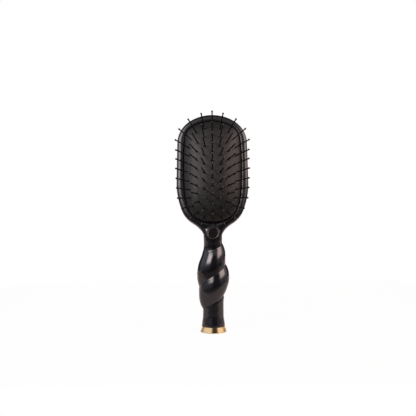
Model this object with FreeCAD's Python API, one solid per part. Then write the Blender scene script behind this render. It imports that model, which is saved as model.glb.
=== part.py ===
# Cushion hair brush with a leaning oval head, a domed rubber pad of ball-tipped pins,
# a twisted grip and a flared metal foot. It stands on the foot. Millimetres, Z up,
# origin at the middle of the foot's flat face, pins towards -Y.
import math
import os

import FreeCAD
import Part
from FreeCAD import Vector

# Head: a flat oval moulding that leans back from the upright grip.
head_lean = math.radians(11.0)
head_centre_y = 3.42
head_root_depth = 20.23
head_thickness = 13.0
head_front_round = 3.4
head_back_round = 5.5
# Half of the head's outline, across and along the head: where its arcs meet, from the top
# down to the root that is buried in the neck.
head_outline = [
    (0.0, 64.0), (24.5, 56.6), (37.5, 33.0), (38.2, -11.0), (32.4, -41.5), (20.5, -55.4),
    (11.8, -63.2), (8.4, -71.5),
]

# Pad: a domed rubber skin over a shallow air chamber.
pad_outline = [
    (0.0, 55.5), (20.9, 50.0), (29.0, 37.6), (30.4, 8.0), (29.4, -22.0), (25.2, -41.0),
    (19.0, -48.9),
]
pad_edge_depth = 1.0
pad_height = 15.0
pad_skin = 1.8
pad_groove = 0.5
ledge_depth = 3.0
ledge_width = 3.6
chamber_depth = 8.0
rim_inner_round = 1.5
# How far up the dome its rings of facets lie, on its outer and inner face.
pad_outer_rings = (0.0, 0.14, 0.30, 0.48, 0.66, 0.84)
pad_inner_rings = (0.0, 0.20, 0.42, 0.68)

# Pins: a staggered field that fans out.
pin_length = 22.0
pin_radius = 0.56
ball_radius = 0.98
pin_root_radius = 1.15
pin_root_height = 0.7
pin_root_length = 2.6
pin_sides = 6
# The fan of the pins: they stand square to a dome of this half width, half length and height,
# whose middle lies a little below the pad's.
fan_half_width = 32.0
fan_half_length = 55.5
fan_height = 18.0
fan_drop = 2.0
fan_power = 2.6
# Across and along the pad, for the right half; the left half is its mirror image.
middle_column = [
    (0.0, 47.1), (0.0, 37.6), (0.0, 28.4), (0.0, 18.4), (0.0, 8.6), (0.0, -0.4),
    (0.0, -9.6), (0.0, -18.2), (0.0, -27.1), (0.0, -35.8), (0.0, -43.6), (0.0, -51.0),
]
first_column = [
    (8.6, 45.4), (8.6, 35.6), (7.5, 24.6), (8.4, 14.7), (8.5, 5.1), (8.3, -4.3),
    (8.3, -13.6), (7.9, -22.1), (6.1, -31.1), (8.3, -41.0), (8.6, -49.6),
]
second_column = [
    (16.9, 41.0), (15.3, 28.9), (16.7, 19.0), (16.8, 10.0), (16.8, 0.4), (16.8, -8.9),
    (16.6, -17.9), (16.2, -26.3), (14.3, -35.0), (15.4, -45.4),
]
third_column = [
    (22.5, 33.4), (25.0, 24.4), (25.1, 15.2), (25.1, 6.6), (25.2, -2.9), (24.9, -12.5),
    (24.5, -21.3), (23.6, -30.0), (21.0, -38.4),
]

# Grip: one strip wound down the shaft. Each station gives the turn angle of the crease,
# its height, and the radius of the lobe below it in ten equal steps down to the next
# crease on the same side. Angle 0 is the right side and -90 the front.
grip_stations = [
    (540.0, 126.0, [9.55, 9.55, 9.55, 9.55, 9.55, 9.55, 9.55, 9.55, 9.55, 9.55, 9.55]),
    (360.0, 114.0, [9.55, 9.55, 9.55, 9.55, 9.55, 9.55, 9.55, 9.55, 9.55, 9.6, 9.75]),
    (180.0, 103.5, [9.55, 9.5, 9.5, 9.5, 9.5, 9.5, 9.6, 9.8, 10.35, 11.1, 11.7]),
    (0.0, 92.9, [9.75, 11.0, 11.85, 12.5, 12.9, 13.05, 13.1, 13.1, 13.1, 13.1, 13.2]),
    (-180.0, 80.7, [11.7, 12.95, 14.3, 15.4, 16.2, 16.75, 17.0, 16.9, 16.5, 15.9, 14.9]),
    (-360.0, 71.2, [13.2, 15.0, 16.2, 16.9, 17.2, 17.0, 16.45, 15.45, 14.4, 12.75, 10.9]),
    (-540.0, 47.9, [14.9, 15.0, 15.0, 15.0, 14.95, 14.85, 14.6, 14.0, 13.3, 12.15, 10.8]),
    (-720.0, 38.8, [10.9, 11.4, 11.2, 11.0, 10.9, 10.9, 10.9, 10.9, 10.95, 11.0, 11.0]),
    (-900.0, 23.7, [10.8, 10.85, 10.9, 10.9, 10.9, 10.95, 11.0, 11.0, 11.0, 11.0, 11.0]),
    (-1080.0, 17.0, [11.0, 11.0, 11.0, 11.0, 11.0, 11.0, 11.0, 11.0, 11.0, 11.0, 11.0]),
    (-1260.0, 11.0, [11.0, 11.0, 11.0, 11.0, 11.0, 11.0, 11.0, 11.0, 11.0, 11.0, 11.0]),
]
shaft_bottom = 6.0
# Radius of the plain shaft under the grip, by height.
shaft_profile = [(6.0, 12.15), (9.0, 11.95), (12.0, 11.5), (15.0, 11.1), (18.0, 10.95), (24.0, 10.9)]
# Neck between grip and head: half width and half depth by height under the neck's top, and
# the heights under it between which the neck takes up this profile, bends back and leans.
neck_top = 112.0
neck_profile = [
    (-16.0, 9.55, 9.55), (-12.0, 9.6, 9.5), (-9.0, 10.1, 9.0), (-6.0, 11.2, 8.2),
    (-3.0, 12.6, 7.0), (0.0, 14.2, 5.2),
]
neck_blend = (-19.0, -14.0)
neck_bend = (-26.0, -8.0)
neck_turn = (-22.0, -8.0)
neck_axis_depth = 6.6
grip_columns = 32
lobe_steps = [0.05, 0.12, 0.22, 0.36, 0.52, 0.70, 0.86, 1.0]
neck_steps = 6

# Badge on the neck: a plain disc in a ring.
badge_along = -66.3
badge_floor = -1.0
badge_face = 1.9
badge_disc_radius = 5.1
badge_ring_radius = 6.8
badge_ring_face = 2.3

# Foot: a flared metal cup on the end of the shaft.
foot_top_radius = 11.9
foot_bottom_radius = 13.75
foot_base = 1.6
spigot_radius = 9.6
spigot_end_gap = 0.2


def arc_chain(points):
    """Arcs that run on smoothly through half an outline, as centre, radius and angles.

    The first arc leaves the middle line square to it, and the last one closes on it.
    """
    arcs = []
    heading = 0.0
    for start, end in zip(points[:-1], points[1:]):
        chord = math.atan2(end[1] - start[1], end[0] - start[0])
        bend = chord - heading
        size = math.hypot(end[0] - start[0], end[1] - start[1])
        radius = size / (2.0 * math.sin(-bend))
        centre = (start[0] + radius * math.sin(heading), start[1] - radius * math.cos(heading))
        arcs.append((centre[0], centre[1], radius, heading + math.pi / 2.0, 2.0 * bend))
        heading += 2.0 * bend
    x, v = points[-1]
    side = heading + math.pi / 2.0
    radius = x / math.cos(side)
    arcs.append((0.0, v - radius * math.sin(side), radius, side, -math.pi / 2.0 - side))
    return arcs


# The head stands on the neck, with its root sunk in it.
root_arc = arc_chain(head_outline)[-1]
head_centre_z = neck_top - head_root_depth - (root_arc[1] - root_arc[2]) * math.cos(head_lean)
head_normal = Vector(0.0, -math.cos(head_lean), math.sin(head_lean))


def head_point(across, along, out):
    """A point of the head, from its own across, along and outward measures."""
    y = head_centre_y + along * math.sin(head_lean) - out * math.cos(head_lean)
    z = head_centre_z + along * math.cos(head_lean) + out * math.sin(head_lean)
    return Vector(across, y, z)


def outline_ring(points, inset, scale, out):
    """Points round an outline at a depth of the head, drawn in and scaled."""
    half = []
    for cx, cv, radius, start, sweep in arc_chain(points):
        reach = radius - inset
        count = max(math.ceil(abs(math.degrees(sweep)) / 12.0), math.ceil(abs(radius * sweep) / 16.0))
        for k in range(count):
            turn = start + sweep * k / count
            half.append((scale * (cx + reach * math.cos(turn)), scale * (cv + reach * math.sin(turn))))
    last = arc_chain(points)[-1]
    half.append((0.0, scale * (last[1] - last[2] + inset)))
    mirrored = [(-x, v) for x, v in reversed(half[1:-1])]
    return [head_point(x, v, out) for x, v in half + mirrored]


def quads(low, high):
    polygons = []
    for k in range(len(low)):
        m = (k + 1) % len(low)
        polygons.append((low[k], low[m], high[m]))
        polygons.append((low[k], high[m], high[k]))
    return polygons


def smooth_step(low, high, value):
    t = min(max((value - low) / (high - low), 0.0), 1.0)
    return t * t * (3.0 - 2.0 * t)


def along_table(table, value, column):
    """Smooth monotone interpolation in a table whose first column rises."""
    keys = [row[0] for row in table]
    values = [row[column] for row in table]
    if value <= keys[0]:
        return values[0]
    if value >= keys[-1]:
        return values[-1]
    slopes = []
    for i in range(len(keys) - 1):
        slopes.append((values[i + 1] - values[i]) / (keys[i + 1] - keys[i]))
    tangents = [slopes[0]]
    for i in range(1, len(slopes)):
        if slopes[i - 1] * slopes[i] <= 0.0:
            tangents.append(0.0)
        else:
            tangents.append(2.0 * slopes[i - 1] * slopes[i] / (slopes[i - 1] + slopes[i]))
    tangents.append(slopes[-1])
    for i in range(len(keys) - 1):
        if value <= keys[i + 1]:
            span = keys[i + 1] - keys[i]
            t = (value - keys[i]) / span
            return (
                (2 * t ** 3 - 3 * t ** 2 + 1) * values[i]
                + (t ** 3 - 2 * t ** 2 + t) * span * tangents[i]
                + (3 * t ** 2 - 2 * t ** 3) * values[i + 1]
                + (t ** 3 - t ** 2) * span * tangents[i + 1]
            )
    return values[-1]


crease_by_turn = sorted((turn, height) for turn, height, radii in grip_stations)
crease_by_height = sorted((height, turn) for turn, height, radii in grip_stations)


def crease_height(turn):
    return along_table(crease_by_turn, turn, 1)


def crease_turn(height):
    low = -1260.0
    high = 540.0
    for _ in range(50):
        middle = 0.5 * (low + high)
        if crease_height(middle) < height:
            low = middle
        else:
            high = middle
    return 0.5 * (low + high)


lobe_tables = sorted((turn, radii) for turn, height, radii in grip_stations)


def lobe_radius(turn, drop):
    """Radius of the strip at a turn angle, a given part of the way down its lobe."""
    steps = []
    for _, radii in lobe_tables:
        table = [(i / 10.0, radii[i]) for i in range(11)]
        steps.append(along_table(table, drop, 1))
    keyed = [(lobe_tables[i][0], steps[i]) for i in range(len(steps))]
    return along_table(keyed, turn, 1)


def grip_radius(turn, height):
    """Radius of the handle at a turn angle within one turn above the crease there."""
    top = crease_height(turn)
    bottom = crease_height(turn - 360.0)
    drop = min(max((top - height) / (top - bottom), 0.0), 1.0)
    radius = lobe_radius(turn, drop)
    plain = along_table(shaft_profile, height, 1)
    mix = smooth_step(16.0, 23.0, height)
    return plain + (radius - plain) * mix


def neck_axis_y(height):
    line_start = head_point(0.0, 0.0, -neck_axis_depth)
    line = line_start.y + (height - line_start.z) * math.tan(head_lean)
    return line * smooth_step(neck_bend[0], neck_bend[1], height - neck_top)


def handle_point(turn, height):
    """A point of the handle's skin at a turn angle and a height of its axis."""
    while turn < crease_turn(height) - 1e-6:
        turn += 360.0
    lean = head_lean * smooth_step(neck_turn[0], neck_turn[1], height - neck_top)
    neck = smooth_step(neck_blend[0], neck_blend[1], height - neck_top)
    radius = grip_radius(turn, height)
    wide = radius + (along_table(neck_profile, height - neck_top, 1) - radius) * neck
    deep = radius + (along_table(neck_profile, height - neck_top, 2) - radius) * neck
    angle = math.radians(turn)
    out = -deep * math.sin(angle)
    x = wide * math.cos(angle)
    return Vector(x, neck_axis_y(height) - out * math.cos(lean), height + out * math.sin(lean))


def handle_column(turn):
    """Points down one side of the handle, split where it crosses the crease."""
    groups = []
    first = crease_height(turn)
    heights = [neck_top + (first - neck_top) * k / neck_steps for k in range(neck_steps + 1)]
    groups.append([handle_point(turn + 360.0, h) for h in heights[:-1]] + [handle_point(turn, heights[-1])])
    for lap in range(3):
        top = crease_height(turn - 360.0 * lap)
        bottom = crease_height(turn - 360.0 * (lap + 1))
        group = [groups[-1][-1]]
        for share in lobe_steps[:-1]:
            group.append(handle_point(turn - 360.0 * lap, top + (bottom - top) * share))
        group.append(handle_point(turn - 360.0 * (lap + 1), bottom))
        groups.append(group)
    low = crease_height(turn - 1080.0)
    tail = [groups[-1][-1]]
    for share in (0.5, 1.0):
        tail.append(handle_point(turn - 1080.0, low + (shaft_bottom - low) * share))
    groups.append(tail)
    return groups


def stitch(left, right):
    """Triangles between two chains of points that run down side by side."""
    triangles = []
    i = 0
    j = 0
    while i < len(left) - 1 or j < len(right) - 1:
        if j == len(right) - 1 or (i < len(left) - 1 and left[i + 1].z >= right[j + 1].z):
            triangles.append((left[i], left[i + 1], right[j]))
            i += 1
        else:
            triangles.append((left[i], right[j + 1], right[j]))
            j += 1
    return triangles


def flat_solid(polygons, extra=()):
    faces = list(extra)
    for points in polygons:
        faces.append(Part.Face(Part.makePolygon(list(points) + [points[0]])))
    shell = Part.Shell(faces)
    shell.sewShape()
    solid = Part.Solid(shell)
    if solid.Volume < 0.0:
        solid.reverse()
    return solid


def build_handle_core():
    """The twisted grip with its neck and plain shaft, as one wound skin of small facets."""
    columns = []
    for k in range(grip_columns):
        columns.append(handle_column(180.0 - 360.0 * k / grip_columns))
    polygons = []
    for left, right in zip(columns[:-1], columns[1:]):
        for low, high in zip(left, right):
            polygons += stitch(low, high)
    left = columns[-1]
    right = columns[0]
    polygons += stitch(left[0], right[0] + right[1][1:])
    polygons += stitch(left[1], right[2])
    polygons += stitch(left[2], right[3])
    polygons += stitch(left[3] + left[4][1:], right[4])
    polygons.append([column[0][0] for column in columns])
    polygons.append([column[-1][-1] for column in columns])
    return flat_solid(polygons)


def build_head():
    """The oval head with its rounded rim, the ledge for the pad and the air chamber."""
    rings = []
    for angle in (0.0, 22.0, 45.0, 67.0, 90.0):
        turn = math.radians(angle)
        inset = head_back_round * (1.0 - math.sin(turn))
        rings.append(outline_ring(head_outline, inset, 1.0, head_back_round * (1.0 - math.cos(turn)) - head_thickness))
    for angle in (90.0, 65.0, 42.0, 20.0, 0.0):
        turn = math.radians(angle)
        inset = head_front_round * (1.0 - math.sin(turn))
        rings.append(outline_ring(head_outline, inset, 1.0, head_front_round * (math.cos(turn) - 1.0)))
    polygons = [rings[0]]
    for low, high in zip(rings[:-1], rings[1:]):
        polygons += quads(low, high)
    recess = []
    for angle in (0.0, 28.0, 58.0, 90.0):
        turn = math.radians(angle)
        inset = -pad_groove - rim_inner_round * (1.0 - math.sin(turn))
        recess.append(outline_ring(pad_outline, inset, 1.0, rim_inner_round * (math.cos(turn) - 1.0)))
    recess.append(outline_ring(pad_outline, -pad_groove, 1.0, -ledge_depth))
    recess.append(outline_ring(pad_outline, ledge_width - pad_groove, 1.0, -ledge_depth))
    recess.append(outline_ring(pad_outline, ledge_width - pad_groove, 1.0, -chamber_depth))
    for low, high in zip(recess[:-1], recess[1:]):
        polygons += quads(low, high)
    polygons.append(recess[-1])
    outer = Part.Wire(Part.makePolygon(rings[-1] + [rings[-1][0]]))
    inner = Part.Wire(Part.makePolygon(recess[0] + [recess[0][0]]))
    rim = Part.makeFace([outer, inner], "Part::FaceMakerBullseye")
    return flat_solid(polygons, rim.Faces)


def build_handle():
    body = build_head().fuse(build_handle_core())
    spigot_bottom = foot_base + spigot_end_gap
    spigot_height = shaft_bottom - spigot_bottom + 2.0
    body = body.fuse(Part.makeCylinder(spigot_radius, spigot_height, Vector(0, 0, spigot_bottom)))
    seat = Part.makeCylinder(badge_ring_radius, 12.0, head_point(0, badge_along, badge_floor), head_normal)
    return body.cut(seat).Solids[0]


def outline_share(points, x, v):
    """How far out a place lies, as a share of the outline in its direction."""
    size = math.hypot(x, v)
    if size < 1e-9:
        return 0.0
    dx = abs(x) / size
    dv = v / size
    for cx, cv, radius, start, sweep in arc_chain(points):
        along = dx * cx + dv * cv
        root = along * along - (cx * cx + cv * cv - radius * radius)
        if root < 0.0:
            continue
        reach = along + math.copysign(math.sqrt(root), radius)
        turn = math.atan2((dv * reach - cv) / radius, (dx * reach - cx) / radius)
        while turn > start + 1e-9:
            turn -= 2.0 * math.pi
        if turn >= start + sweep - 1e-9:
            return size / reach
    return 1.0


def dome_height(x, v):
    share = outline_share(pad_outline, x, v)
    return pad_height * math.sqrt(max(1.0 - share * share, 0.0)) - pad_edge_depth


def fan_surface(x, v):
    across = (abs(x) / fan_half_width) ** fan_power
    along = (abs(v + fan_drop) / fan_half_length) ** fan_power
    return fan_height * math.sqrt(max(1.0 - (across + along) ** (2.0 / fan_power), 0.0001))


def fan_direction(x, v):
    """Which way a pin points, in the head's across, along and outward measures."""
    g = 0.01
    slope_x = (fan_surface(x + g, v) - fan_surface(x - g, v)) / (2.0 * g)
    slope_v = (fan_surface(x, v + g) - fan_surface(x, v - g)) / (2.0 * g)
    size = math.sqrt(slope_x ** 2 + slope_v ** 2 + 1.0)
    return (-slope_x / size, -slope_v / size, 1.0 / size)


def pad_rings(inset, shares):
    """Rings up one face of the pad's skin, and the point that closes them."""
    rings = [outline_ring(pad_outline, inset, 1.0, -ledge_depth)]
    height = pad_height - inset
    for share in shares:
        angle = share * math.pi / 2.0
        out = height * math.sin(angle) - pad_edge_depth
        rings.append(outline_ring(pad_outline, inset, math.cos(angle), out))
    return rings, head_point(0.0, 0.0, height - pad_edge_depth)


def build_pad(holes):
    polygons = []
    feet = []
    for inset, shares in ((0.0, pad_outer_rings), (pad_skin, pad_inner_rings)):
        rings, crown = pad_rings(inset, shares)
        feet.append(rings[0])
        for low, high in zip(rings[:-1], rings[1:]):
            polygons += quads(low, high)
        top = rings[-1]
        for k in range(len(top)):
            polygons.append((top[k], top[(k + 1) % len(top)], crown))
    polygons += quads(feet[0], feet[1])
    pad = flat_solid(polygons)
    return pad.cut(Part.makeCompound(holes)).Solids[0]


def faceted_rod(base, axis, rings):
    """A rod of flat facets through rings of (distance along the axis, radius)."""
    side = axis.cross(Vector(0.0, 0.0, 1.0))
    if side.Length < 0.01:
        side = Vector(1.0, 0.0, 0.0)
    side.normalize()
    other = axis.cross(side)
    loops = []
    for distance, radius in rings:
        loop = []
        for k in range(pin_sides):
            turn = 2.0 * math.pi * (k + 0.5) / pin_sides
            loop.append(base + axis * distance + side * (radius * math.cos(turn)) + other * (radius * math.sin(turn)))
        loops.append(loop)
    faces = [Part.Face(Part.makePolygon(loops[0] + [loops[0][0]]))]
    faces.append(Part.Face(Part.makePolygon(loops[-1] + [loops[-1][0]])))
    for low, high in zip(loops[:-1], loops[1:]):
        for k in range(pin_sides):
            m = (k + 1) % pin_sides
            faces.append(Part.Face(Part.makePolygon([low[k], low[m], high[m], high[k], low[k]])))
    shell = Part.Shell(faces)
    shell.sewShape()
    solid = Part.Solid(shell)
    if solid.Volume < 0.0:
        solid.reverse()
    return solid


def pin_frame(x, v):
    dx, dv, dw = fan_direction(x, v)
    base = head_point(x, v, dome_height(x, v))
    axis = head_point(dx, dv, dw) - head_point(0.0, 0.0, 0.0)
    axis.normalize()
    return base, axis


def build_pin(x, v):
    base, axis = pin_frame(x, v)
    top = pin_length
    rings = [
        (-pin_root_length - pin_root_height, pin_root_radius),
        (-pin_root_length, pin_root_radius),
        (-pin_root_length, pin_radius),
        (top - 1.8 * ball_radius, pin_radius),
        (top - 1.0 * ball_radius, ball_radius),
        (top, 0.55 * ball_radius),
    ]
    return faceted_rod(base, axis, rings)


def pin_hole(x, v):
    base, axis = pin_frame(x, v)
    return faceted_rod(base, axis, [(-8.0, pin_radius), (4.0, pin_radius)])


def pin_rows():
    """The pins sorted into rows from the top of the pad down, with both sides."""
    rows = []
    for k in range(12):
        places = [middle_column[k]]
        if 1 <= k <= 10:
            x, v = second_column[k - 1]
            places += [(x, v), (-x, v)]
        rows.append(places)
        if k < 11:
            x, v = first_column[k]
            places = [(x, v), (-x, v)]
            if 1 <= k <= 9:
                x, v = third_column[k - 1]
                places += [(x, v), (-x, v)]
            rows.append(places)
    return rows


def turned(profile, centre, axis):
    """A solid turned from a profile of (radius, height) corners."""
    base = [Vector(r, 0.0, h) for r, h in profile]
    face = Part.Face(Part.makePolygon(base + [base[0]]))
    solid = face.revolve(Vector(0, 0, 0), Vector(0, 0, 1), 360)
    solid.Placement = FreeCAD.Placement(centre, FreeCAD.Rotation(Vector(0, 0, 1), axis))
    return solid


def build_badge_ring():
    height = badge_ring_face - badge_floor
    profile = [
        (badge_disc_radius, 0.0), (badge_ring_radius, 0.0), (badge_ring_radius, height - 0.4),
        (badge_ring_radius - 0.5, height), (badge_disc_radius, height),
    ]
    return turned(profile, head_point(0.0, badge_along, badge_floor), head_normal)


def build_badge_disc():
    height = badge_face - badge_floor
    profile = [(0.0, 0.0), (badge_disc_radius, 0.0), (badge_disc_radius, height), (0.0, height)]
    return turned(profile, head_point(0.0, badge_along, badge_floor), head_normal)


def build_foot():
    profile = [
        (0.0, 0.0), (foot_bottom_radius - 0.4, 0.0), (foot_bottom_radius, 0.5),
        (foot_top_radius, shaft_bottom), (spigot_radius, shaft_bottom), (spigot_radius, foot_base), (0.0, foot_base),
    ]
    return turned(profile, Vector(0, 0, 0), Vector(0, 0, 1))


os.makedirs("parts", exist_ok=True)
parts = {}
parts["handle_body"] = build_handle()
holes = []
for number, places in enumerate(pin_rows(), 1):
    pins = [build_pin(x, v) for x, v in places]
    holes += [pin_hole(x, v) for x, v in places]
    parts["pins_row_%02d" % number] = Part.makeCompound(pins)
parts["cushion"] = build_pad(holes)
parts["badge_ring"] = build_badge_ring()
parts["badge_disc"] = build_badge_disc()
parts["gold_foot"] = build_foot()
for name, shape in parts.items():
    shape.exportStep("parts/%s.step" % name)
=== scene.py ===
import math

import bmesh
import bpy
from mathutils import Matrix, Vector


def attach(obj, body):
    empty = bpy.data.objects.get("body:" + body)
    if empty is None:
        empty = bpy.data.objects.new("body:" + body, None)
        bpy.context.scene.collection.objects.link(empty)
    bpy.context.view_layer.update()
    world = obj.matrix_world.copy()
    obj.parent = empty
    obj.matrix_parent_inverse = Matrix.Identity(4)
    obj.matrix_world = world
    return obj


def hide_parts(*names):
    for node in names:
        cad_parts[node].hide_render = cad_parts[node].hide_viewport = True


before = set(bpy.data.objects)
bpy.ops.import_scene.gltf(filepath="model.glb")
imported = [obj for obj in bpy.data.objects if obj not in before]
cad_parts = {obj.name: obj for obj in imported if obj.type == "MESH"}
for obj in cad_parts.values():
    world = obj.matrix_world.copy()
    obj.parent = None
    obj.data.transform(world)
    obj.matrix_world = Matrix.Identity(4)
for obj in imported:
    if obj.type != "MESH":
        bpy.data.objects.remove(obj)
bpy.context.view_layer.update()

# Camera: it looks level at the front of the brush, from a little left of its middle, and is turned
# a touch clockwise.
camera_place = (-0.00491, -0.650, 0.1304)
camera_roll = 0.38
camera_lens = 53.22

camera_data = bpy.data.cameras.new("camera")
camera_data.lens = camera_lens
camera_data.sensor_width = 36.0
camera_data.clip_start = 0.01
camera = bpy.data.objects.new("camera", camera_data)
camera.location = camera_place
camera.rotation_euler = (math.radians(90.0), math.radians(camera_roll), 0.0)
bpy.context.scene.collection.objects.link(camera)
bpy.context.scene.camera = camera
bpy.context.scene.view_settings.view_transform = "Standard"

# Table: a matt white top that ends in front of the brush, with a low ledge at its sides and back
# that only gloss sees. The camera sees the top as white, but for the brush's shadow. Gloss sees its
# front part as a painted reflection: a dim glow in place of its lit top.
table_half_width = 0.34
table_front = -0.20
table_back = 0.45
table_ledge_height = 0.055
table_white = (0.78, 0.74, 0.72)
table_fade = (-0.115, -0.050)
# The painted reflection that gloss sees on the front of the table: its share and its dim glow.
table_painted_reflection_share = 0.95
table_painted_reflection_glow = (0.16, 0.13, 0.12)
table_seen_share = 0.97
plain_white = (1.0, 1.0, 1.0)


class Wire:
    """A socket in a material's nodes. Sums on it, and node(), add the nodes that make them."""

    def __init__(self, socket):
        self.socket = socket
        self.tree = socket.id_data

    def node(self, kind, settings, sockets, output=0):
        made = self.tree.nodes.new(kind)
        for name, value in settings.items():
            setattr(made, name, value)
        for name, value in sockets.items():
            if isinstance(value, Wire):
                self.tree.links.new(value.socket, made.inputs[name])
            else:
                made.inputs[name].default_value = value
        return Wire(made.outputs[output])

    def into(self, shader, name):
        self.tree.links.new(self.socket, shader.inputs[name])

    def maths(self, operation, first, second):
        return self.node("ShaderNodeMath", {"operation": operation}, {0: first, 1: second})

    def __add__(self, other):
        return self.maths("ADD", self, other)

    __radd__ = __add__

    def __sub__(self, other):
        return self.maths("SUBTRACT", self, other)

    def __rsub__(self, other):
        return self.maths("SUBTRACT", other, self)

    def __mul__(self, other):
        return self.maths("MULTIPLY", self, other)

    __rmul__ = __mul__

    def __truediv__(self, other):
        return self.maths("DIVIDE", self, other)

    def __pow__(self, other):
        return self.maths("POWER", self, other)

    def __abs__(self):
        return self.maths("ABSOLUTE", self, 0.0)

    def part(self, axis):
        """One of the three numbers of a place or a direction."""
        return self.node("ShaderNodeSeparateXYZ", {}, {0: self}, axis)

    def noise(self, scale, detail=2.0, roughness=0.5):
        sockets = {"Vector": self, "Scale": scale, "Detail": detail, "Roughness": roughness}
        return self.node("ShaderNodeTexNoise", {}, sockets)

    def between(self, low, high):
        """Two colours mixed by this value."""
        sockets = {0: self, 6: (*low, 1.0), 7: (*high, 1.0)}
        return self.node("ShaderNodeMix", {"data_type": "RGBA"}, sockets, 2)

    def bumped(self, height, strength, distance):
        sockets = {"Height": height, "Strength": strength, "Distance": distance}
        return self.node("ShaderNodeBump", {}, sockets)


def new_finish(name):
    """A material, its shader, and the place of each point on the piece, in metres."""
    finish = bpy.data.materials.new(name)
    finish.use_nodes = True
    place = finish.node_tree.nodes.new("ShaderNodeTexCoord")
    return finish, finish.node_tree.nodes["Principled BSDF"], Wire(place.outputs["Object"])


def shown_plain(tree, output_name, shader_socket, rays, colour):
    """Shows a plain glow instead of a shader to a share of the rays, such as the camera's."""
    glow = tree.nodes.new("ShaderNodeEmission")
    glow.inputs["Color"].default_value = (*colour, 1.0)
    mix = tree.nodes.new("ShaderNodeMixShader")
    rays.into(mix, 0)
    tree.links.new(shader_socket, mix.inputs[1])
    tree.links.new(glow.outputs[0], mix.inputs[2])
    tree.links.new(mix.outputs[0], tree.nodes[output_name].inputs["Surface"])
    return mix.outputs[0]


def eased(value, low, high, start, end):
    """Eases from one level to another as a value goes from low to high."""
    sockets = {"Value": value, "From Min": low, "From Max": high, "To Min": start, "To Max": end}
    return value.node("ShaderNodeMapRange", {"interpolation_type": "SMOOTHSTEP"}, sockets)


def stage_sheet(name, corners, faces, finish):
    """A sheet of the studio, which isn't a piece of the brush."""
    mesh = bpy.data.meshes.new(name)
    mesh.from_pydata(corners, [], faces)
    mesh.materials.append(finish)
    sheet = bpy.data.objects.new(name, mesh)
    bpy.context.scene.collection.objects.link(sheet)
    return sheet


table_finish, table_shader, table_place = new_finish("white_table")
table_tree = table_finish.node_tree
table_shader.inputs["Base Color"].default_value = (*table_white, 1.0)
table_shader.inputs["Roughness"].default_value = 0.6
table_rays = table_tree.nodes.new("ShaderNodeLightPath")
table_seen = Wire(table_rays.outputs["Is Camera Ray"]) + Wire(table_rays.outputs["Is Transmission Ray"])
# Painted reflection: gloss sees the front part of the table as a dim glow instead of its lit top, fading
# out towards the back.
table_painted_reflection_mask = eased(table_place.part(1), table_fade[0], table_fade[1], table_painted_reflection_share, 0.0)
table_painted_reflection_rays = Wire(table_rays.outputs["Is Glossy Ray"]) * table_painted_reflection_mask
table_mix = shown_plain(
    table_tree, "Material Output", table_shader.outputs[0], table_painted_reflection_rays, table_painted_reflection_glow)
shown_plain(table_tree, "Material Output", table_mix, table_seen * table_seen_share, plain_white)
table_corners = [
    (-table_half_width, table_front, 0.0), (table_half_width, table_front, 0.0),
    (table_half_width, table_back, 0.0), (-table_half_width, table_back, 0.0),
]
table = stage_sheet("table", table_corners, [(0, 1, 2, 3)], table_finish)
ledge_corners = []
for side, y in ((-1.0, 0.0), (-1.0, table_back), (1.0, table_back), (1.0, 0.0)):
    ledge_corners.append((side * table_half_width, y, 0.0))
    ledge_corners.append((side * table_half_width, y, table_ledge_height))
ledge_faces = [(0, 1, 3, 2), (2, 3, 5, 4), (4, 5, 7, 6)]
ledge = stage_sheet("table_ledge", ledge_corners, ledge_faces, table_finish)
ledge.visible_camera = False

# Room: dim panels stand left and right, a cool and a warm one, with a dark gap between them and
# darkness above and behind. Gloss shows them, while the camera sees plain white behind the brush.
gap_middle = math.radians(13.0)
panel_cool = (0.92, 0.93, 1.10)
panel_warm = (1.15, 1.00, 1.05)
soft_fill = 0.25

room = bpy.data.worlds.new("room")
room.use_nodes = True
bpy.context.scene.world = room
room_light = room.node_tree.nodes["Background"]
room_aim = Wire(room.node_tree.nodes.new("ShaderNodeTexCoord").outputs["Generated"])
room_x = room_aim.part(0)
room_y = room_aim.part(1)
room_z = room_aim.part(2)
room_level = (1.0 - room_z * room_z) ** 0.5 + 0.001
room_front = (room_x * math.sin(gap_middle) - room_y * math.cos(gap_middle)) / room_level
room_back = room_y / room_level
panel_low = eased(room_z, -0.17, 0.04, 0.06, 0.42)
panel_high = eased(room_z, 0.08, 0.34, 0.0, 0.60)
panel_top = eased(room_z, 0.72, 0.90, 1.0, 0.03)
panel_behind = eased(room_back, 0.25, 0.66, 1.0, 0.12)
gap_share = eased(room_front, 0.78, 0.965, 0.0, 1.0)
gap_light = eased(room_z, 0.52, 0.66, 0.05, 0.60)
panel_light = (panel_low + panel_high) * panel_top
panel_light = panel_light * (1.0 - gap_share) + panel_light * gap_share * gap_light
panel_light = panel_light * panel_behind
panel_side = eased(room_x, -0.3, 0.3, 0.0, 1.0)
panel_side.between(panel_cool, panel_warm).into(room_light, "Color")
room_rays = room.node_tree.nodes.new("ShaderNodeLightPath")
room_soft = Wire(room_rays.outputs["Is Diffuse Ray"])
(panel_light * (1.0 - room_soft) + room_soft * soft_fill).into(room_light, "Strength")
room_seen = Wire(room_rays.outputs["Is Camera Ray"]) + Wire(room_rays.outputs["Is Transmission Ray"])
shown_plain(room.node_tree, "World Output", room_light.outputs[0], room_seen, plain_white)

# Soft boxes: two wide fabric boxes stand in front of the brush and look down at it, a whiter one on
# the left and a warmer one on the right. Each is brightest in its middle and fades to its edges.
softbox_distance = 3.0
softbox_aim = Vector((0.0, 0.0, 0.07))
softbox_core = 0.15
softbox_edge = 0.5


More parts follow.
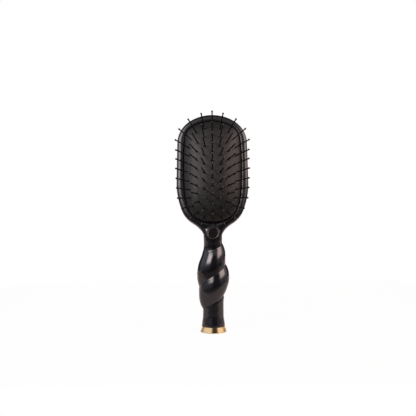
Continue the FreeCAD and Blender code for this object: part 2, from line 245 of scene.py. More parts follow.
def softbox(name, side, rise, width, height, light, colour):
    """A soft box seen from the grip at an angle to the side and upward."""
    lamp_data = bpy.data.lights.new(name, "AREA")
    lamp_data.shape = "RECTANGLE"
    lamp_data.size = width
    lamp_data.size_y = height
    lamp_data.energy = light * math.pi * width * height
    lamp_data.color = colour
    lamp_data.use_nodes = True
    cloth = Wire(lamp_data.node_tree.nodes.new("ShaderNodeNewGeometry").outputs["Parametric"])
    across = eased(abs(cloth.part(0) - 0.5), softbox_core, softbox_edge, 1.0, 0.0)
    upward = eased(abs(cloth.part(1) - 0.5), softbox_core, softbox_edge, 1.0, 0.0)
    (across * upward).into(lamp_data.node_tree.nodes["Emission"], "Strength")
    lamp = bpy.data.objects.new(name, lamp_data)
    turn = math.radians(side)
    lift = math.radians(rise)
    away = Vector((math.sin(turn) * math.cos(lift), -math.cos(turn) * math.cos(lift), math.sin(lift)))
    lamp.location = softbox_aim + away * softbox_distance
    lamp.rotation_euler = (-away).to_track_quat("-Z", "Y").to_euler()
    bpy.context.scene.collection.objects.link(lamp)
    return lamp


lamps = [
    softbox("softbox_left", -39.5, 30.5, width=2.8, height=1.95, light=11.0, colour=(1.0, 0.88, 0.85)),
    softbox("softbox_right", 62.0, 32.5, width=3.6, height=2.1, light=7.5, colour=(1.0, 0.79, 0.71)),
]

# Handle: the head, neck and twisted grip are one hard moulding in gloss black, which comes polished
# out of the mould. The grip is one strip wound down the shaft, with a crisp crease where its turns
# meet. The head leans back, and its rim stands round the seat of the cushion.
head_lean = math.radians(11.0)
head_centre_y = 3.42
head_root_depth = 20.23
head_thickness = 13.0
head_front_round = 3.4
head_back_round = 5.5
head_outline = [
    (0.0, 64.0), (24.5, 56.6), (37.5, 33.0), (38.2, -11.0), (32.4, -41.5), (20.5, -55.4),
    (11.8, -63.2), (8.4, -71.5),
]
pad_outline = [
    (0.0, 55.5), (20.9, 50.0), (29.0, 37.6), (30.4, 8.0), (29.4, -22.0), (25.2, -41.0),
    (19.0, -48.9),
]
pad_groove = 0.5
ledge_depth = 3.0
ledge_width = 3.6
chamber_depth = 8.0
rim_inner_round = 1.5
rim_inner_power = 2.5
rim_crown = 4.4
rim_crown_rings = 12
rim_shares = (0.12, 0.25, 0.38, 0.5, 0.62, 0.73, 0.82, 0.89, 0.94, 0.975, 1.0)
head_step = 2.0
head_back_rings = 40
head_edge_rings = 10
# Each station has the strip's turn in degrees, the height of the crease above it, and the strip's
# radius at eleven even steps from that crease to the one below.
grip_stations = [
    (540.0, 126.0, [9.55, 9.55, 9.55, 9.55, 9.55, 9.55, 9.55, 9.55, 9.55, 9.55, 9.55]),
    (360.0, 114.0, [9.55, 9.55, 9.55, 9.55, 9.55, 9.55, 9.55, 9.55, 9.55, 9.6, 9.75]),
    (180.0, 103.5, [9.55, 9.5, 9.5, 9.5, 9.5, 9.5, 9.6, 9.8, 10.35, 11.1, 11.7]),
    (0.0, 92.9, [9.75, 11.0, 11.85, 12.5, 12.9, 13.05, 13.1, 13.1, 13.1, 13.1, 13.2]),
    (-180.0, 80.7, [11.7, 12.95, 14.3, 15.4, 16.2, 16.75, 17.0, 16.9, 16.5, 15.9, 14.9]),
    (-360.0, 71.2, [13.2, 15.0, 16.2, 16.9, 17.2, 17.0, 16.45, 15.45, 14.4, 12.75, 10.9]),
    (-540.0, 47.9, [14.9, 15.0, 15.0, 15.0, 14.95, 14.85, 14.6, 14.0, 13.3, 12.15, 10.8]),
    (-720.0, 38.8, [10.9, 11.4, 11.2, 11.0, 10.9, 10.9, 10.9, 10.9, 10.95, 11.0, 11.0]),
    (-900.0, 23.7, [10.8, 10.85, 10.9, 10.9, 10.9, 10.95, 11.0, 11.0, 11.0, 11.0, 11.0]),
    (-1080.0, 17.0, [11.0, 11.0, 11.0, 11.0, 11.0, 11.0, 11.0, 11.0, 11.0, 11.0, 11.0]),
    (-1260.0, 11.0, [11.0, 11.0, 11.0, 11.0, 11.0, 11.0, 11.0, 11.0, 11.0, 11.0, 11.0]),
    (-1440.0, 5.0, [11.0, 11.0, 11.0, 11.0, 11.0, 11.0, 11.0, 11.0, 11.0, 11.0, 11.0]),
    (-1620.0, -1.0, [11.0, 11.0, 11.0, 11.0, 11.0, 11.0, 11.0, 11.0, 11.0, 11.0, 11.0]),
    (-1800.0, -7.0, [11.0, 11.0, 11.0, 11.0, 11.0, 11.0, 11.0, 11.0, 11.0, 11.0, 11.0]),
]
shaft_bottom = 6.0
shaft_profile = [(6.0, 12.15), (9.0, 11.95), (12.0, 11.5), (15.0, 11.1), (18.0, 10.95), (24.0, 10.9)]
neck_top = 112.0
neck_profile = [
    (-16.0, 9.55, 9.55), (-12.0, 9.6, 9.5), (-9.0, 10.1, 9.0), (-6.0, 11.2, 8.2),
    (-3.0, 12.6, 7.0), (0.0, 14.2, 5.2),
]
strip_start = (16.0, 23.0)
neck_blend = (-19.0, -14.0)
neck_bend = (-26.0, -8.0)
neck_turn = (-22.0, -8.0)
neck_axis_depth = 6.6
spigot_radius = 9.6
spigot_bottom = 1.8
badge_along = -66.3
badge_floor = -1.0
badge_ring_radius = 6.8
badge_seat_play = 0.02
badge_seat_depth = 12.0
neck_smoothed = (103.0, 123.0)
neck_smoothed_along = -57.6
neck_smoothed_margin = 2.0
neck_smoothed_fade = 3.5
neck_longest_edge = 1.1
neck_shortest_edge = 0.3
neck_divisions = 7
neck_smoothing = 36
turned_sides = 96
strip_columns = 120
strip_turned = 1980.0
strip_shares = [
    0.0, 0.015, 0.04, 0.08, 0.13, 0.19, 0.26, 0.34, 0.42, 0.50, 0.58, 0.66, 0.74, 0.81,
    0.87, 0.92, 0.96, 0.985, 1.0,
]


def arc_chain(points):
    """Arcs that run on smoothly through half an outline, as centre, radius and angles."""
    arcs = []
    heading = 0.0
    for start, end in zip(points[:-1], points[1:]):
        chord = math.atan2(end[1] - start[1], end[0] - start[0])
        bend = chord - heading
        size = math.hypot(end[0] - start[0], end[1] - start[1])
        radius = size / (2.0 * math.sin(-bend))
        centre = (start[0] + radius * math.sin(heading), start[1] - radius * math.cos(heading))
        arcs.append((centre[0], centre[1], radius, heading + math.pi / 2.0, 2.0 * bend))
        heading += 2.0 * bend
    x, v = points[-1]
    side = heading + math.pi / 2.0
    radius = x / math.cos(side)
    arcs.append((0.0, v - radius * math.sin(side), radius, side, -math.pi / 2.0 - side))
    return arcs


def reach_of(arcs, inset, angle):
    """How far from the middle an outline lies at an angle, when it is drawn in."""
    dx = abs(math.cos(angle))
    dv = math.sin(angle)
    best = None
    for cx, cv, radius, start, sweep in arcs:
        size = radius - inset
        along = dx * cx + dv * cv
        root = along * along - (cx * cx + cv * cv - size * size)
        if root < 0.0:
            continue
        reach = along + math.copysign(math.sqrt(root), size)
        turn = math.atan2((dv * reach - cv) / size, (dx * reach - cx) / size) - start
        turn = (turn + math.pi) % (2.0 * math.pi) - math.pi
        share = turn / sweep
        miss = max(-share, share - 1.0, 0.0) * abs(sweep)
        if best is None or miss < best[0]:
            best = (miss, reach)
    return best[1]


root_arc = arc_chain(head_outline)[-1]
head_centre_z = neck_top - head_root_depth - (root_arc[1] - root_arc[2]) * math.cos(head_lean)
head_normal = Vector((0.0, -math.cos(head_lean), math.sin(head_lean)))


def head_point(across, along, out):
    """A point of the head, from its own across, along and outward measures."""
    y = head_centre_y + along * math.sin(head_lean) - out * math.cos(head_lean)
    z = head_centre_z + along * math.cos(head_lean) + out * math.sin(head_lean)
    return Vector((across, y, z))


def head_angles(step):
    """Angles from the head's middle, at even steps along its outline, once round it."""
    right = []
    for cx, cv, radius, start, sweep in arc_chain(head_outline):
        count = max(math.ceil(abs(radius * sweep) / step), 3)
        for k in range(count):
            turn = start + sweep * k / count
            right.append(math.atan2(cv + radius * math.sin(turn), cx + radius * math.cos(turn)))
    left = [math.pi - angle for angle in reversed(right[1:])]
    return right + [-math.pi / 2.0] + left


def outline_ring(points, angles, inset, scale, out):
    """A ring round the head on one of its outlines, drawn in by an inset, then scaled."""
    arcs = arc_chain(points)
    ring = []
    for angle in angles:
        reach = scale * reach_of(arcs, inset, angle)
        ring.append(head_point(reach * math.cos(angle), reach * math.sin(angle), out))
    return ring


def loft(rings, first_cap, last_cap):
    """Points and faces of a skin through rings, closed at each end round a point."""
    points = [point for ring in rings for point in ring]
    count = len(rings[0])
    faces = []
    for level in range(len(rings) - 1):
        low = level * count
        for k in range(count):
            m = (k + 1) % count
            faces.append((low + k, low + m, low + count + m, low + count + k))
    for cap, low in ((first_cap, 0), (last_cap, (len(rings) - 1) * count)):
        points.append(cap)
        for k in range(count):
            faces.append((low + k, low + (k + 1) % count, len(points) - 1))
    return points, faces


def soften(mesh, sharp):
    """Smooth shading, with a hard line wherever two faces turn by more than an angle."""
    shape = bmesh.new()
    shape.from_mesh(mesh)
    for face in shape.faces:
        face.smooth = True
    for edge in shape.edges:
        edge.smooth = edge.calc_face_angle(0.0) < math.radians(sharp)
    shape.to_mesh(mesh)
    shape.free()


def new_piece(name, skins, sharp=35.0):
    """A closed piece from skins given in millimetres, smooth but for its sharp edges."""
    shape = bmesh.new()
    for points, faces in skins:
        made = [shape.verts.new(Vector(point) * 0.001) for point in points]
        for face in faces:
            shape.faces.new([made[k] for k in face])
    bmesh.ops.remove_doubles(shape, verts=shape.verts, dist=1e-7)
    bmesh.ops.recalc_face_normals(shape, faces=shape.faces)
    mesh = bpy.data.meshes.new(name)
    shape.to_mesh(mesh)
    shape.free()
    soften(mesh, sharp)
    piece = bpy.data.objects.new(name, mesh)
    bpy.context.scene.collection.objects.link(piece)
    return piece


def smooth_step(low, high, value):
    """Eases from 0 to 1 as a value goes from low to high."""
    t = min(max((value - low) / (high - low), 0.0), 1.0)
    return t * t * (3.0 - 2.0 * t)


def along_table(table, value, column):
    """Smooth monotone interpolation in a table whose first column rises."""
    keys = [row[0] for row in table]
    values = [row[column] for row in table]
    if value <= keys[0]:
        return values[0]
    if value >= keys[-1]:
        return values[-1]
    slopes = []
    for i in range(len(keys) - 1):
        slopes.append((values[i + 1] - values[i]) / (keys[i + 1] - keys[i]))
    tangents = [slopes[0]]
    for i in range(1, len(slopes)):
        if slopes[i - 1] * slopes[i] <= 0.0:
            tangents.append(0.0)
        else:
            tangents.append(2.0 * slopes[i - 1] * slopes[i] / (slopes[i - 1] + slopes[i]))
    tangents.append(slopes[-1])
    for i in range(len(keys) - 1):
        if value <= keys[i + 1]:
            span = keys[i + 1] - keys[i]
            t = (value - keys[i]) / span
            start = (2 * t ** 3 - 3 * t ** 2 + 1) * values[i]
            end = (3 * t ** 2 - 2 * t ** 3) * values[i + 1]
            leaving = (t ** 3 - 2 * t ** 2 + t) * span * tangents[i]
            arriving = (t ** 3 - t ** 2) * span * tangents[i + 1]
            return (start + leaving) + (end + arriving)
    return values[-1]


def neck_axis_y(height):
    """How far back the middle of the grip or neck lies at a height."""
    line_start = head_point(0.0, 0.0, -neck_axis_depth)
    line = line_start.y + (height - line_start.z) * math.tan(head_lean)
    return line * smooth_step(neck_bend[0], neck_bend[1], height - neck_top)


def handle_point(turn, height, strip_radius):
    """A point of the handle's skin, where the strip has a given radius."""
    plain = along_table(shaft_profile, height, 1)
    radius = plain + (strip_radius - plain) * smooth_step(strip_start[0], strip_start[1], height)
    lean = head_lean * smooth_step(neck_turn[0], neck_turn[1], height - neck_top)
    neck = smooth_step(neck_blend[0], neck_blend[1], height - neck_top)
    wide = radius + (along_table(neck_profile, height - neck_top, 1) - radius) * neck
    deep = radius + (along_table(neck_profile, height - neck_top, 2) - radius) * neck
    out = -deep * math.sin(math.radians(turn))
    x = wide * math.cos(math.radians(turn))
    return Vector((x, neck_axis_y(height) - out * math.cos(lean), height + out * math.sin(lean)))


def on_neck_top(point):
    """True for a point on the flat top of the neck, which leans back with the head."""
    place = point - Vector((0.0, neck_axis_y(neck_top), neck_top))
    return abs(place.y * math.sin(head_lean) + place.z * math.cos(head_lean)) < 1e-6


def grip_skin():
    """The strip wound down from the neck to the foot, open at both ends."""
    by_turn = sorted(grip_stations)
    creases = [(turn, height) for turn, height, radii in by_turn]
    radius_tables = []
    for share in strip_shares:
        table = []
        for turn, height, radii in by_turn:
            table.append((turn, along_table([(i / 10.0, radii[i]) for i in range(11)], share, 1)))
        radius_tables.append(table)
    step = 360.0 / strip_columns
    count = int(strip_turned / step)
    columns = []
    for i in range(count + 1):
        turn = grip_stations[0][0] - step * i
        top = along_table(creases, turn, 1)
        bottom = along_table(creases, turn - 360.0, 1)
        column = []
        for share, table in zip(strip_shares, radius_tables):
            height = min(max(top + (bottom - top) * share, shaft_bottom), neck_top)
            column.append(handle_point(turn, height, along_table(table, turn, 1)))
        columns.append(column)
    points = [point for column in columns for point in column]
    size = len(strip_shares)
    faces = []
    for i in range(count):
        for j in range(size - 1):
            corners = (i * size + j, i * size + j + 1, (i + 1) * size + j + 1, (i + 1) * size + j)
            under_shaft = all(points[k].z <= shaft_bottom + 1e-6 for k in corners)
            if not under_shaft and not all(on_neck_top(points[k]) for k in corners):
                faces.append(corners)
    return points, faces


def close_ends(piece):
    """Closes the open ends of a piece with a face each."""
    shape = bmesh.new()
    shape.from_mesh(piece.data)
    open_edges = [edge for edge in shape.edges if len(edge.link_faces) == 1]
    bmesh.ops.holes_fill(shape, edges=open_edges, sides=0)
    bmesh.ops.recalc_face_normals(shape, faces=shape.faces)
    shape.to_mesh(piece.data)
    shape.free()


def head_skin():
    """The head from the middle of its back, over its rim and into the chamber under the cushion."""
    angles = head_angles(head_step)
    rings = []
    for k in range(1, head_back_rings):
        scale = k / head_back_rings
        rings.append(outline_ring(head_outline, angles, head_back_round, scale, -head_thickness))
    for k in range(head_edge_rings + 1):
        turn = math.radians(90.0 / head_edge_rings * k)
        inset = head_back_round * (1.0 - math.sin(turn))
        out = head_back_round * (1.0 - math.cos(turn)) - head_thickness
        rings.append(outline_ring(head_outline, angles, inset, 1.0, out))
    for k in range(rim_crown_rings + 1):
        turn = math.radians(90.0 - 90.0 / rim_crown_rings * k)
        inset = rim_crown * (1.0 - math.sin(turn))
        out = head_front_round * (math.cos(turn) - 1.0)
        rings.append(outline_ring(head_outline, angles, inset, 1.0, out))
    crown_edge = rings[-1]
    groove_edge = outline_ring(pad_outline, angles, -pad_groove, 1.0, 0.0)
    for share in rim_shares:
        drop = rim_inner_round * (1.0 - (1.0 - share ** rim_inner_power) ** (1.0 / rim_inner_power))
        pairs = zip(crown_edge, groove_edge)
        rings.append([outer.lerp(inner, share) - head_normal * drop for outer, inner in pairs])
    rings.append(outline_ring(pad_outline, angles, -pad_groove, 1.0, -ledge_depth))
    rings.append(outline_ring(pad_outline, angles, ledge_width - pad_groove, 1.0, -ledge_depth))
    rings.append(outline_ring(pad_outline, angles, ledge_width - pad_groove, 1.0, -chamber_depth))
    return loft(rings, head_point(0.0, 0.0, -head_thickness), head_point(0.0, 0.0, -chamber_depth))


def turned_skin(profile, base, axis, sides):
    """A skin turned round an axis from a profile of (radius, distance along the axis)."""
    side = axis.cross(Vector((1.0, 0.0, 0.0))).normalized()
    other = axis.cross(side)
    rings = []
    for radius, distance in profile:
        ring = []
        for k in range(sides):
            turn = 2.0 * math.pi * k / sides
            ring.append(base + axis * distance + (side * math.cos(turn) + other * math.sin(turn)) * radius)
        rings.append(ring)
    return loft(rings, base + axis * profile[0][1], base + axis * profile[-1][1])


def joined(piece, other, operation):
    """Joins or cuts a piece with another, which is used up."""
    step = piece.modifiers.new("join", "BOOLEAN")
    step.operation = operation
    step.object = other
    step.solver = "EXACT"
    solid = piece.evaluated_get(bpy.context.evaluated_depsgraph_get())
    mesh = bpy.data.meshes.new_from_object(solid)
    piece.modifiers.clear()
    piece.data = mesh
    bpy.data.objects.remove(other)


def in_neck(point, trim):
    """True where a point of the handle lies in the root of the head, by a margin."""
    if not neck_smoothed[0] + trim < point.z * 1000.0 < neck_smoothed[1] - trim:
        return False
    y = point.y * 1000.0 - head_centre_y
    z = point.z * 1000.0 - head_centre_z
    return y * math.sin(head_lean) + z * math.cos(head_lean) < neck_smoothed_along - trim


def faces_in_neck(shape):
    """The faces that reach into the root of the head, or lie close to it."""
    near = []
    for face in shape.faces:
        if any(in_neck(vert.co, -neck_smoothed_margin) for vert in face.verts):
            near.append(face)
    return near


def smooth_neck(piece):
    """Evens out the mesh where neck and head meet, and smooths it to a moulded blend."""
    shape = bmesh.new()
    shape.from_mesh(piece.data)
    for step in range(neck_divisions):
        bmesh.ops.triangulate(shape, faces=faces_in_neck(shape))
        long_edges = []
        for edge in shape.edges:
            start = edge.verts[0].co
            middle = (start + edge.verts[1].co) * 0.5
            near = in_neck(middle, -neck_smoothed_margin) or in_neck(start, -neck_smoothed_margin)
            if near and edge.calc_length() > neck_longest_edge * 0.001:
                long_edges.append(edge)
        if not long_edges:
            break
        bmesh.ops.subdivide_edges(shape, edges=long_edges, cuts=1)
    bmesh.ops.triangulate(shape, faces=faces_in_neck(shape))
    close = [vert for vert in shape.verts if in_neck(vert.co, -0.5 * neck_smoothed_margin)]
    bmesh.ops.remove_doubles(shape, verts=close, dist=neck_shortest_edge * 0.001)
    inner = []
    for edge in shape.edges:
        if all(in_neck(vert.co, -neck_smoothed_margin) for vert in edge.verts):
            inner.append(edge)
    bmesh.ops.beautify_fill(shape, faces=faces_in_neck(shape), edges=inner)
    for step in range(neck_smoothing):
        trim = neck_smoothed_fade * step / neck_smoothing
        verts = [vert for vert in shape.verts if in_neck(vert.co, trim)]
        bmesh.ops.smooth_vert(
            shape, verts=verts, factor=0.5, use_axis_x=True, use_axis_y=True, use_axis_z=True)
    shape.to_mesh(piece.data)
    shape.free()


handle = new_piece("gloss_handle", [head_skin()])
grip = new_piece("grip_blank", [grip_skin()])
close_ends(grip)
upward = Vector((0.0, 0.0, 1.0))
ground_middle = Vector((0.0, 0.0, 0.0))
spigot_profile = [(spigot_radius, spigot_bottom), (spigot_radius, shaft_bottom + 2.0)]
spigot = new_piece("spigot_blank", [turned_skin(spigot_profile, ground_middle, upward, turned_sides)])
seat_radius = badge_ring_radius + badge_seat_play
seat_base = head_point(0.0, badge_along, badge_floor)
seat_profile = [(seat_radius, 0.0), (seat_radius, badge_seat_depth)]
seat = new_piece("seat_blank", [turned_skin(seat_profile, seat_base, head_normal, turned_sides)])
joined(handle, grip, "UNION")
joined(handle, spigot, "UNION")
smooth_neck(handle)
joined(handle, seat, "DIFFERENCE")
soften(handle.data, 30.0)

handle_finish, handle_shader, handle_place = new_finish("gloss_black_moulding")
handle_flow = handle_place.noise(22.0, 2.0)
handle_rub = handle_place.noise(260.0, 4.0, 0.6)
handle_tone = handle_flow * 0.5 + handle_rub * 0.5
handle_tone.between((0.0035, 0.0036, 0.0046), (0.0060, 0.0060, 0.0072)).into(handle_shader, "Base Color")
handle_satin = eased(handle_place.part(2), 0.112, 0.130, 0.0, 0.21)
(handle_rub * 0.04 + handle_flow * 0.03 + 0.075 + handle_satin).into(handle_shader, "Roughness")
handle_place.bumped(handle_flow, 0.02, 0.0001).into(handle_shader, "Normal")
handle_shader.inputs["IOR"].default_value = 1.50
handle.data.materials.clear()
handle.data.materials.append(handle_finish)
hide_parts("handle_body")
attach(handle, "root")

# Cushion: a domed skin of moulded rubber over an air chamber, near black and matt, which is pressed
# onto the ledge of the head. It dips a little where each pin comes through.
pad_edge_depth = 1.0
pad_height = 15.0
pad_skin = 1.8
pad_rings = 64
pad_inner_rings = 9
pad_sides = 240
dimple_depth = 0.55
dimple_reach = 1.7
dimple_end = 4.0
middle_column = [
    (0.0, 47.1), (0.0, 37.6), (0.0, 28.4), (0.0, 18.4), (0.0, 8.6), (0.0, -0.4),
    (0.0, -9.6), (0.0, -18.2), (0.0, -27.1), (0.0, -35.8), (0.0, -43.6), (0.0, -51.0),
]
first_column = [
    (8.6, 45.4), (8.6, 35.6), (7.5, 24.6), (8.4, 14.7), (8.5, 5.1), (8.3, -4.3),
    (8.3, -13.6), (7.9, -22.1), (6.1, -31.1), (8.3, -41.0), (8.6, -49.6),
]
second_column = [
    (16.9, 41.0), (15.3, 28.9), (16.7, 19.0), (16.8, 10.0), (16.8, 0.4), (16.8, -8.9),
    (16.6, -17.9), (16.2, -26.3), (14.3, -35.0), (15.4, -45.4),
]
third_column = [
    (22.5, 33.4), (25.0, 24.4), (25.1, 15.2), (25.1, 6.6), (25.2, -2.9), (24.9, -12.5),
    (24.5, -21.3), (23.6, -30.0), (21.0, -38.4),
]


def pin_rows():
    """The places of the pins, sorted into rows from the top of the cushion down."""
    rows = []
    for k, middle_place in enumerate(middle_column):
        places = [middle_place]
        if 1 <= k <= len(second_column):
            x, v = second_column[k - 1]
            places += [(x, v), (-x, v)]
        rows.append(places)
        if k < len(first_column):
            x, v = first_column[k]
            places = [(x, v), (-x, v)]
            if 1 <= k <= len(third_column):
                x, v = third_column[k - 1]
                places += [(x, v), (-x, v)]
            rows.append(places)
    return rows


pad_arcs = arc_chain(pad_outline)
pin_places = [place for row in pin_rows() for place in row]


def dome_height(x, v):
    """How far the cushion stands out of the head at a place."""
    size = math.hypot(x, v)
    if size < 1e-9:
        return pad_height - pad_edge_depth
    share = size / reach_of(pad_arcs, 0.0, math.atan2(v, x))
    return pad_height * math.sqrt(max(1.0 - share * share, 0.0)) - pad_edge_depth


def dimple(x, v):
    """How far the rubber dips at a place, for the pins round it."""
    dip = 0.0
    for pin_x, pin_v in pin_places:
        gap = (x - pin_x) ** 2 + (v - pin_v) ** 2
        if gap < dimple_end ** 2:
            dip += dimple_depth * math.exp(-gap / (0.5 * dimple_reach ** 2))
    return dip


def dome_ring(angles, skin, turn):
    """A ring of the cushion's outside, or of its inside where a skin is given."""
    ring = []
    for angle in angles:
        reach = reach_of(pad_arcs, skin, angle) * math.cos(turn)
        x = reach * math.cos(angle)
        v = reach * math.sin(angle)
        dip = 0.0 if skin else dimple(x, v) * math.sin(turn)
        ring.append(head_point(x, v, (pad_height - skin) * math.sin(turn) - pad_edge_depth - dip))
    return ring


def cushion_skin():
    """The cushion from the middle of its inside, round its foot on the ledge and over its dome."""
    angles = [math.pi / 2.0 - 2.0 * math.pi * k / pad_sides for k in range(pad_sides)]
    rings = []
    for k in range(1, pad_inner_rings + 1):
        rings.append(dome_ring(angles, pad_skin, math.radians(90.0 - 90.0 * k / pad_inner_rings)))
    rings.append(outline_ring(pad_outline, angles, pad_skin, 1.0, -ledge_depth))
    rings.append(outline_ring(pad_outline, angles, 0.0, 1.0, -ledge_depth))
    for k in range(pad_rings):
        rings.append(dome_ring(angles, 0.0, math.radians(90.0 * k / pad_rings)))
    crown = pad_height - pad_edge_depth
    inside = head_point(0.0, 0.0, crown - pad_skin)
    outside = head_point(0.0, 0.0, crown - dimple(0.0, 0.0))
    return loft(rings, inside, outside)


cushion = new_piece("rubber_cushion", [cushion_skin()], 50.0)
cushion_finish, cushion_shader, cushion_place = new_finish("matte_rubber")
cushion_cloud = cushion_place.noise(35.0, 3.0)
cushion_grain = cushion_place.noise(2600.0, 2.0, 0.6)
cushion_tone = cushion_cloud * 0.7 + cushion_grain * 0.3
cushion_tone.between((0.0022, 0.0020, 0.0021), (0.0048, 0.0044, 0.0044)).into(cushion_shader, "Base Color")
(cushion_grain * 0.08 + cushion_cloud * 0.05 + 0.48).into(cushion_shader, "Roughness")
cushion_place.bumped(cushion_grain, 0.35, 0.0001).into(cushion_shader, "Normal")
cushion_shader.inputs["Specular IOR Level"].default_value = 0.42
cushion.data.materials.append(cushion_finish)
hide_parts("cushion")
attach(cushion, "root")

# Pins: moulded nylon rods with a ball on the end, pushed through the rubber from behind and held
# by a flange inside. They fan out as if they stood square to a taller dome than the cushion's.
fan_half_width = 32.0
fan_half_length = 55.5
fan_height = 18.0
fan_drop = 2.0
fan_power = 2.6
pin_length = 22.0
pin_radius = 0.68
pin_rings = 9
pin_sides = 12
collar_radius = 0.92
collar_end = 0.9
ball_radius = 1.02
ball_neck = 0.85
flange_radius = 1.15
flange_height = 0.7
flange_depth = 2.6
tip_rings = 1

pin_finish, pin_shader, pin_place = new_finish("black_nylon")
pin_tone = pin_place.noise(900.0, 2.0)
pin_tone.between((0.0022, 0.0019, 0.0018), (0.0050, 0.0043, 0.0040)).into(pin_shader, "Base Color")
(pin_tone * 0.10 + 0.30).into(pin_shader, "Roughness")
pin_place.bumped(pin_tone, 0.15, 0.0001).into(pin_shader, "Normal")
pin_shader.inputs["Specular IOR Level"].default_value = 0.3
# The crowns of the balls get a lighter grey: a painted highlight that stands in for the glints on the
# balls.
painted_tip_highlight, painted_tip_shader, painted_tip_place = new_finish("painted_highlight_tips")
painted_tip_tone = painted_tip_place.noise(900.0, 2.0)
painted_tip_tone.between((0.09, 0.085, 0.08), (0.14, 0.13, 0.125)).into(painted_tip_shader, "Base Color")
(painted_tip_tone * 0.1 + 0.40).into(painted_tip_shader, "Roughness")


def fan_surface(x, v):
    """The height of the taller dome to which the pins stand square."""
    across = (abs(x) / fan_half_width) ** fan_power
    along = (abs(v + fan_drop) / fan_half_length) ** fan_power
    return fan_height * math.sqrt(max(1.0 - (across + along) ** (2.0 / fan_power), 0.0001))


def pin_skin(x, v):
    """A pin with its flange under the rubber, its collar on it, its rod and its ball."""
    step = 0.01
    slope_x = (fan_surface(x + step, v) - fan_surface(x - step, v)) / (2.0 * step)
    slope_v = (fan_surface(x, v + step) - fan_surface(x, v - step)) / (2.0 * step)
    base = head_point(x, v, dome_height(x, v))
    axis = (head_point(-slope_x, -slope_v, 1.0) - head_point(0.0, 0.0, 0.0)).normalized()
    profile = [
        (flange_radius, -flange_depth - flange_height), (flange_radius, -flange_depth),
        (pin_radius, -flange_depth), (pin_radius, -1.6), (collar_radius, -0.8), (collar_radius, 0.1),
        (0.80, 0.45), (pin_radius, collar_end),
    ]
    rod_length = pin_length - collar_end - (1.0 + ball_neck) * ball_radius
    for k in range(pin_rings):
        profile.append((pin_radius, collar_end + rod_length * (k + 1) / pin_rings))
    for k in range(8):
        turn = math.radians(18.0 * k - 38.0)
        rise = pin_length - ball_radius + ball_radius * math.sin(turn)
        profile.append((ball_radius * math.cos(turn), rise))
    return turned_skin(profile, base, axis, pin_sides)


def on_tip(place, pin_faces):
    """True for the faces on the crown of a pin's ball, by their number in the pin's mesh."""
    first_cap = pin_faces - 2 * pin_sides
    return place >= first_cap + pin_sides or first_cap - tip_rings * pin_sides <= place < first_cap


for number, places in enumerate(pin_rows(), 1):
    pins = new_piece("nylon_pins_%02d" % number, [pin_skin(x, v) for x, v in places], 45.0)
    pins.data.materials.append(pin_finish)
    pins.data.materials.append(painted_tip_highlight)
    pin_faces = len(pins.data.polygons) // len(places)
    for face in pins.data.polygons:
        # Faces on the crown of each ball take the painted highlight.
        if on_tip(face.index % pin_faces, pin_faces):
            face.material_index = 1
    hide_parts("pins_row_%02d" % number)
    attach(pins, "root")

# Badge ring: a bezel turned from metal, with a round face and a dark grey-beige plating. It is
# pressed into a seat that is sunk into the neck.
bezel_inner_radius = 5.1
bezel_profile = [
    (bezel_inner_radius, 0.0), (badge_ring_radius, 0.0), (badge_ring_radius, 2.80), (6.72, 3.02),
    (6.56, 3.18), (6.34, 3.27), (6.05, 3.30), (5.75, 3.29), (5.45, 3.22), (5.24, 3.08),
    (bezel_inner_radius, 2.85),
]


def hoop_skin(profile, base, axis, sides):
    """A ring turned from a closed profile."""
    points, faces = turned_skin(profile, base, axis, sides)
    faces = [face for face in faces if len(face) == 4]
    last = (len(profile) - 1) * sides
    for k in range(sides):
        m = (k + 1) % sides
        faces.append((last + k, last + m, m, k))
    return points[:-2], faces


bezel_skin = hoop_skin(bezel_profile, seat_base, head_normal, turned_sides)
badge_ring = new_piece("badge_bezel", [bezel_skin], 50.0)
ring_finish, ring_shader, ring_place = new_finish("plated_bezel")
ring_tone = ring_place.noise(700.0, 3.0)
ring_tone.between((0.050, 0.042, 0.038), (0.075, 0.064, 0.058)).into(ring_shader, "Base Color")
(ring_tone * 0.12 + 0.30).into(ring_shader, "Roughness")
ring_shader.inputs["Metallic"].default_value = 1.0
badge_ring.data.materials.append(ring_finish)
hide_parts("badge_ring")
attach(badge_ring, "root")

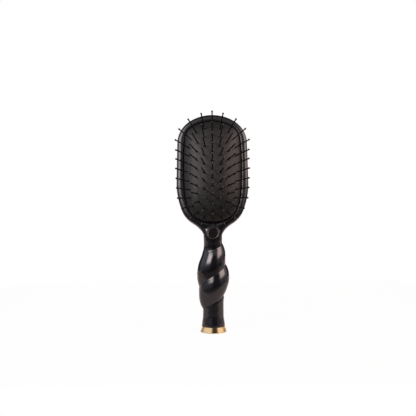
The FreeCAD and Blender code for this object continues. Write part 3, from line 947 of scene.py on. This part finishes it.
# Badge disc: a plain button moulded in gloss black, with a slightly crowned face. It is glued
# inside the ring, a little below its top.
disc_profile = [
    (5.09, 0.0), (5.09, 2.62), (5.02, 2.74), (4.86, 2.80), (4.4, 2.822), (3.3, 2.858), (2.0, 2.885),
    (0.9, 2.898),
]
disc_skin = turned_skin(disc_profile, seat_base, head_normal, turned_sides)
badge_disc = new_piece("badge_button", [disc_skin], 50.0)
disc_finish, disc_shader, disc_place = new_finish("gloss_black_button")
disc_tone = disc_place.noise(500.0, 3.0)
disc_tone.between((0.0045, 0.0045, 0.0060), (0.0075, 0.0075, 0.0095)).into(disc_shader, "Base Color")
(disc_tone * 0.05 + 0.07).into(disc_shader, "Roughness")
badge_disc.data.materials.append(disc_finish)
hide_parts("badge_disc")
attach(badge_disc, "root")

# Foot: a flared cup pressed from brass, gold plated and polished, and glued on the end of the
# shaft. Its flat underside is what the brush stands on.
foot_radius = 13.75
foot_base = 1.6
foot_sides = 128
foot_profile = [
    (13.25, 0.0), (13.5, 0.06), (13.68, 0.22), (foot_radius, 0.48), (13.70, 0.72), (13.53, 1.1),
    (13.33, 1.7), (13.05, 2.5), (12.72, 3.4), (12.40, 4.3), (12.16, 5.0), (12.0, 5.5), (11.93, 5.72),
    (11.85, 5.88), (11.7, 5.97), (11.5, shaft_bottom), (spigot_radius, shaft_bottom),
    (spigot_radius, foot_base),
]
foot = new_piece("gold_plated_foot", [turned_skin(foot_profile, ground_middle, upward, foot_sides)], 40.0)
foot_finish, foot_shader, foot_place = new_finish("polished_gold")
foot_tone = foot_place.noise(160.0, 3.0)
foot_haze = foot_place.noise(1500.0, 3.0, 0.6)
foot_gold = foot_tone * 0.6 + foot_haze * 0.4
foot_gold.between((0.76, 0.55, 0.25), (0.84, 0.62, 0.31)).into(foot_shader, "Base Color")
(foot_haze * 0.08 + foot_tone * 0.04 + 0.08).into(foot_shader, "Roughness")
foot_shader.inputs["Metallic"].default_value = 1.0
foot.data.materials.append(foot_finish)
# The soft boxes don't light the foot, whose polish would show them as blown-out spots.
shielded = bpy.data.collections.new("shielded_from_softboxes")
shielded.objects.link(foot)
shielded.collection_objects[0].light_linking.link_state = "EXCLUDE"
for lamp in lamps:
    lamp.light_linking.receiver_collection = shielded
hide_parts("gold_foot")
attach(foot, "root")
